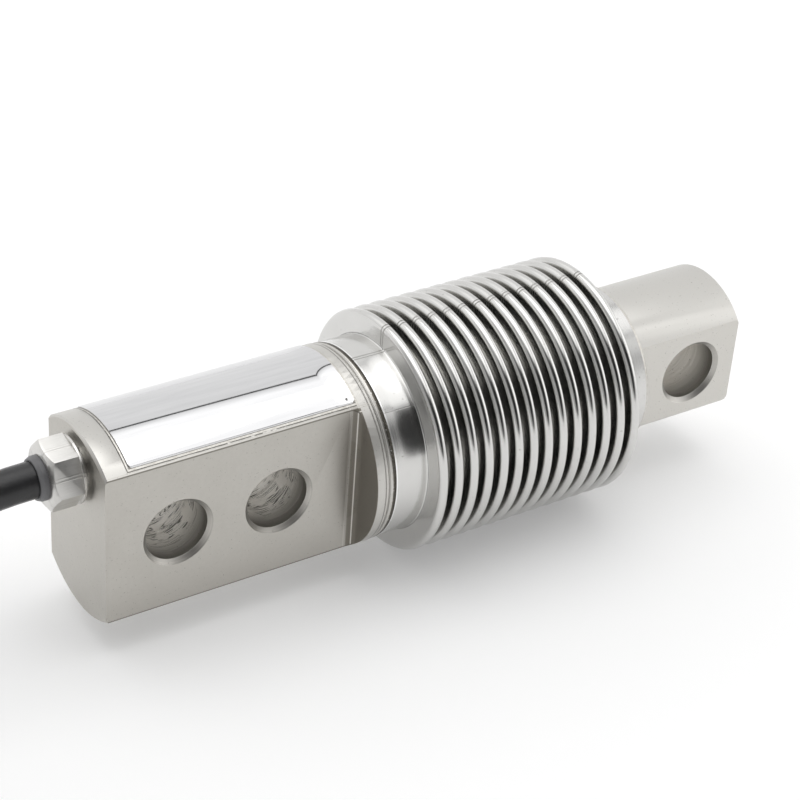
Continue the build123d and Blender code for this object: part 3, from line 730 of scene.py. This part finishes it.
wall_mesh = bpy.data.meshes.new("convolutions")
wall_obj = link(bpy.data.objects.new("convolutions", wall_mesh))
wave = wall_obj.modifiers.new("convolutions", "NODES")
wave.node_group = tube_wall()
items = wave.node_group.interface.items_tree
sockets = {item.name: item.identifier for item in items if item.in_out == "INPUT"}
wave[sockets["Facets Round"]] = facets_round
wave[sockets["Material"]] = formed.material
settle(wall_obj)
tube = bmesh.new()
tube.from_mesh(wall_obj.data)
for profile in (neck, tail):
    part = spun(profile, facets_round)
    part_mesh = bpy.data.meshes.new("tube_end")
    part.to_mesh(part_mesh)
    part.free()
    tube.from_mesh(part_mesh)
    bpy.data.meshes.remove(part_mesh)
bmesh.ops.remove_doubles(tube, verts=tube.verts, dist=2e-6)
bmesh.ops.recalc_face_normals(tube, faces=tube.faces)
outward = max(tube.faces, key=lambda f: f.calc_center_median().yz.length)
middle = outward.calc_center_median()
if outward.normal.yz.dot(middle.yz) < 0:
    bmesh.ops.reverse_faces(tube, faces=tube.faces)
tube_mesh = bpy.data.meshes.new("bellows_tube")
tube.to_mesh(tube_mesh)
tube.free()
bpy.data.objects.remove(wall_obj)
tube_mesh.shade_smooth()
bellows_tube = link(bpy.data.objects.new("bellows_tube", tube_mesh))
thickness = bellows_tube.modifiers.new("wall", "SOLIDIFY")
thickness.thickness = bellows_wall * MM
thickness.offset = -1.0
settle(bellows_tube)
bellows_tube.data.set_sharp_from_angle(angle=math.radians(50))
bellows_tube.data.materials.clear()
bellows_tube.data.materials.append(formed.material)
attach(bellows_tube, "root")
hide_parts("bellows")


# Cover: a thin plate of stainless sheet over the circuit pocket, rolled to the bar's own round,
# polished, and welded in all round. The weld has drawn it in a little at the collar.
polish = Finish("polished_steel", (0.7, 0.7, 0.705), Metallic=1.0)
flow = polish.noise(0.3, polish.stretched(0.1, 1.0, 1.0), detail=0)
drawn_in = polish.step(polish.x, cover_end - 3.5, cover_end + 3.5) * 0.7
from_pit_x = polish.x - 20.9
from_pit_y = polish.y + 8.3
pit_distance = (from_pit_x * from_pit_x + from_pit_y * from_pit_y) ** 0.5
pitted = polish.step(pit_distance + polish.noise(2.0) * 0.3, 0.5, 0.3)
streaks = polish.noise(1.0, polish.stretched(0.08, 0.9, 0.9), detail=2)
sheen = polish.mix(streaks, (0.60, 0.60, 0.608), (0.74, 0.74, 0.745))
polish.feed("Roughness", 0.035 + flow * 0.03 + pitted * 0.3)
polish.feed("Base Color", polish.mix(pitted * 0.9, sheen, (0.05, 0.045, 0.04)))
polish.relief(flow * 0.014 + drawn_in)
machined("cover_plate", "cover", polish, 0.08)

# Weld round the cover and the two rings that close the bellows: fused steel with fine ripples, a
# painted shadow where it runs into the cover, and dotted with scale beside the neck.
weld = Finish("weld", (0.42, 0.4, 0.36), Metallic=1.0)
weld_side = abs(weld.y)
beside_cover = (weld_side - cover_side).largest(cover_start - weld.x).largest(weld.x - cover_end)
at_cover = weld.step(weld.x, 22.8, 22.6)
ripple = weld.noise(1.6, detail=4, distortion=0.6)
fused = weld.noise(3.5, detail=3)
# A painted shadow in the groove where the weld runs into the cover.
root_shadow = weld.step(beside_cover, 0.1, 0.03) * at_cover * 0.8
neck_weld_x = 25.7
neck_weld = weld.line(weld.x - neck_weld_x, 0.5, 0.02)
neck_side = weld.line(weld.x - neck_weld_x - 0.22, 0.2, 0.1) * neck_weld
scale_dots = weld.step(fused, 0.36, 0.46) * neck_side
heat = weld.line(weld.x - neck_weld_x - 0.06, 0.27, 0.08) * neck_weld
weld_tone = weld.mix(weld.step(ripple, 0.3, 0.7), (0.52, 0.5, 0.46), (0.66, 0.645, 0.61))
weld_tone = weld.mix(heat * 0.92, weld_tone, (0.07, 0.062, 0.05))
weld_tone = weld.mix(heat * weld.step(fused, 0.62, 0.68) * 0.8, weld_tone, (0.85, 0.84, 0.81))
# The scale beside the neck, together with the painted shadow at the cover.
scale_and_shadow = (root_shadow * 0.85).largest(scale_dots * 0.9)
weld_tone = weld.mix(scale_and_shadow, weld_tone, (0.06, 0.055, 0.045))
weld.feed("Base Color", weld_tone)
weld.feed("Roughness", 0.3 + ripple * 0.15)
weld.relief(ripple * 0.05 * at_cover + fused * 0.015 - root_shadow * 0.05)
machined("cover_weld", "cover_bead", weld, 0.0)
machined("rear_weld", "neck_bead", weld, 0.0)
machined("front_weld", "tail_bead", weld, 0.0)


# Gland: a hollow hexagon screw of stainless bar, its washer, and the rubber seal that it presses
# on to the cable.
gland_height = 9.9
nut = Finish("gland_steel", (0.62, 0.61, 0.59), Metallic=1.0)
hexagon_turn = 7.5
face_width = 60.0
up = nut.z - gland_height
face_turn = ((0.0 - nut.y).angle_to(up) * (180 / math.pi) - hexagon_turn) % face_width
brushed = nut.noise(1.0, nut.stretched(0.5, 5.0, 5.0), detail=4)
scratched = nut.noise(1.0, nut.stretched(8.0, 0.6, 0.6), detail=3)
tool_line = nut.line(face_turn - 2.5, 0.7, 0.8).largest(nut.line(face_turn - 57.0, 0.5, 0.8) * 0.5)
nut.feed("Roughness", 0.24 + brushed * 0.16)
nut_tone = nut.mix(brushed, (0.60, 0.59, 0.565), (0.72, 0.71, 0.69))
nut.feed("Base Color", nut.mix(tool_line * 0.35, nut_tone, (0.35, 0.34, 0.32)))
nut.relief(brushed * 0.006 + scratched * 0.003 + tool_line * 0.02)
machined("gland_screw", "gland_nut", nut, 0.1)
machined("gland_washer", "nut_washer", nut, 0.05)
machined("seal_washer", "inner_washer", nut, 0.05)

rubber = Finish("seal_rubber", (0.14, 0.14, 0.145))
rubber_cloud = rubber.noise(0.8)
rubber.feed("Base Color", rubber.mix(rubber_cloud, (0.12, 0.12, 0.125), (0.17, 0.17, 0.175)))
rubber.feed("Roughness", 0.36 + rubber_cloud * 0.12)
rubber.relief(rubber.noise(4.0) * 0.015)
machined("cable_seal", "seal", rubber, 0.12)


# Inside, under the cover: the stripped end of the cable, the compensation board with its trimming
# resistors, and a foil gauge on each thin flexure with fine enamelled leads to the board.
nodes["cable_inner_end"].material_slots[0].material = jacket.material
pad_pitch = 2.2
wires = Finish("inner_core_insulation", (0.5, 0.02, 0.02))
wire_grain = wires.noise(4.0)
first_lane = wires.step(wires.y, -pad_pitch - 0.1, -pad_pitch + 0.1)
lanes = wires.mix(first_lane, (0.45, 0.012, 0.01), (0.7, 0.69, 0.66))
lanes = wires.mix(wires.step(wires.y, -0.1, 0.1), lanes, (0.01, 0.2, 0.05))
lanes = wires.mix(wires.step(wires.y, pad_pitch - 0.1, pad_pitch + 0.1), lanes, (0.013, 0.013, 0.014))
wires.feed("Base Color", lanes)
wires.feed("Roughness", 0.4 + wire_grain * 0.15)
nodes["inner_cores"].material_slots[0].material = wires.material
board = Finish("solder_mask", (0.01, 0.11, 0.035))
tracks = board.line(board.y % 1.1 - 0.55, 0.16, 0.03) * board.step(board.noise(0.3, detail=0), 0.4, 0.44)
board.feed("Base Color", board.mix(tracks, (0.008, 0.09, 0.03), (0.02, 0.17, 0.06)))
board.feed("Roughness", 0.28 + board.noise(3.0) * 0.15)
board.relief(tracks * 0.03)
nodes["circuit_board"].material_slots[0].material = board.material
film = Finish("resistor_film", (0.03, 0.03, 0.033))
film.feed("Base Color", film.mix(film.noise(1.5), (0.02, 0.02, 0.022), (0.06, 0.06, 0.065)))
film.feed("Roughness", 0.45 + film.noise(4.0) * 0.2)
nodes["trim_resistors"].material_slots[0].material = film.material
solder = Finish("solder", (0.6, 0.6, 0.61), Metallic=1.0)
solder.feed("Base Color", solder.mix(solder.noise(1.5), (0.5, 0.5, 0.51), (0.68, 0.68, 0.69)))
solder.feed("Roughness", 0.25 + solder.noise(3.0) * 0.2)
solder.relief(solder.noise(1.5) * 0.08)
nodes["solder_pads"].material_slots[0].material = solder.material
foil = Finish("gauge_foil", (0.5, 0.27, 0.07))
loops = foil.line(foil.y % 0.4 - 0.2, 0.1, 0.02)
foil.feed("Base Color", foil.mix(loops, (0.42, 0.2, 0.04), (0.55, 0.42, 0.27)))
foil.feed("Metallic", loops * 0.8)
foil.feed("Roughness", 0.3 + foil.noise(3.0) * 0.15)
for place in ("rear_left", "rear_right", "front_left", "front_right"):
    nodes["strain_gauge_" + place].material_slots[0].material = foil.material
enamel = Finish("lead_enamel", (0.5, 0.2, 0.08), Metallic=1.0)
enamel.feed("Base Color", enamel.mix(enamel.noise(1.0), (0.42, 0.16, 0.06), (0.58, 0.26, 0.12)))
enamel.feed("Roughness", 0.25 + enamel.noise(4.0) * 0.15)
nodes["gauge_leads"].material_slots[0].material = enamel.material
